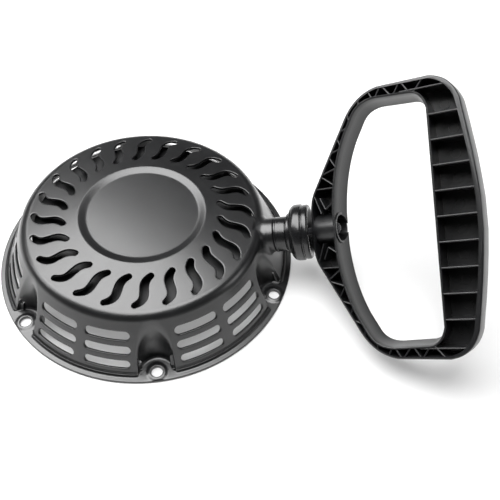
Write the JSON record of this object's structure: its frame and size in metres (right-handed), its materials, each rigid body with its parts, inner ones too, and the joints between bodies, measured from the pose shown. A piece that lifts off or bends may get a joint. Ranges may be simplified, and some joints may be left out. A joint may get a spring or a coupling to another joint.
{
  "type": "recoil starter",
  "caption": "Round vented pull-cord starter with bolt flange, side rope guide, spring reel with pawls and a ribbed loop handle.",
  "frame": {"origin": "centre of the reel axis in the plane of the flange underside", "axes": "+Z along the reel axis out of the engine, rope guide towards +X"},
  "size_m": [0.2823, 0.2262, 0.1274],
  "materials": {
    "housing_paint": "semi-gloss black powder coat",
    "guide_plastic": "satin moulded",
    "handle_plastic": "satin moulded",
    "reel_plastic": "dull moulded",
    "zinc_steel": "zinc plated",
    "spring_steel": "oiled blue-grey strip",
    "bronze": "sintered",
    "rope": "braided cord"
  },
  "bodies": {
    "housing": {"housing": "housing_paint", "spindle_post": "zinc_steel", "rope_guide": "guide_plastic", "guide_retainer": "zinc_steel", "thrust_washer": "zinc_steel", "friction_washer": "zinc_steel", "friction_spring": "spring_steel", "centre_bolt": "zinc_steel", "recoil_spring": "spring_steel"},
    "reel": {"reel": "reel_plastic", "reel_bush": "bronze", "spring_cover": "zinc_steel", "pawl_pin_1": "zinc_steel", "pawl_pin_2": "zinc_steel", "pawl_spring_1": "spring_steel", "pawl_spring_2": "spring_steel", "rope_winding": "rope", "reel_knot": "rope"},
    "pawl_1": {"pawl_1": "zinc_steel"},
    "pawl_2": {"pawl_2": "zinc_steel"},
    "ratchet_guide": {"ratchet_guide": "reel_plastic"},
    "rope_end": {"rope_lead": "rope", "handle_knot": "rope", "knot_washer": "zinc_steel"},
    "handle": {"handle": "handle_plastic"}
  },
  "joints": [
    {"name": "handle_pull", "type": "slide", "parent": "housing", "child": "rope_end", "axis": [0.7787, -0.416, 0.4697], "range_m": [0, 0.7], "stiffness_N_per_m": 12, "springref_m": -0.15, "deforming": ["rope_lead"]},
    {"name": "handle_swivel", "type": "hinge", "parent": "rope_end", "child": "handle", "pos_m": [0.10542, -0.03158, 0.03822], "axis": [0.7787, -0.416, 0.4697], "range_deg": [-180, 180]},
    {"name": "reel_spin", "type": "hinge", "parent": "housing", "child": "reel", "pos_m": [0, 0, 0.0195], "axis": [0, 0, 1], "range_deg": [-903.3, 0], "deforming": ["recoil_spring"]},
    {"name": "pawl_1_swing", "type": "hinge", "parent": "reel", "child": "pawl_1", "pos_m": [0.00821, 0.02255, 0.0102], "axis": [0, 0, 1], "range_deg": [0, 28]},
    {"name": "pawl_2_swing", "type": "hinge", "parent": "reel", "child": "pawl_2", "pos_m": [-0.00821, -0.02255, 0.0102], "axis": [0, 0, 1], "range_deg": [0, 28]},
    {"name": "ratchet_guide_turn", "type": "hinge", "parent": "reel", "child": "ratchet_guide", "pos_m": [0, 0, 0.0067], "axis": [0, 0, 1], "range_deg": [0, 17]}
  ],
  "couplings": [
    {"joint": "reel_spin", "follows": "handle_pull", "rad_per_m": -22.472},
    {"joint": "pawl_2_swing", "follows": "pawl_1_swing", "ratio": 1},
    {"joint": "ratchet_guide_turn", "follows": "pawl_1_swing", "ratio": 0.6}
  ]
}
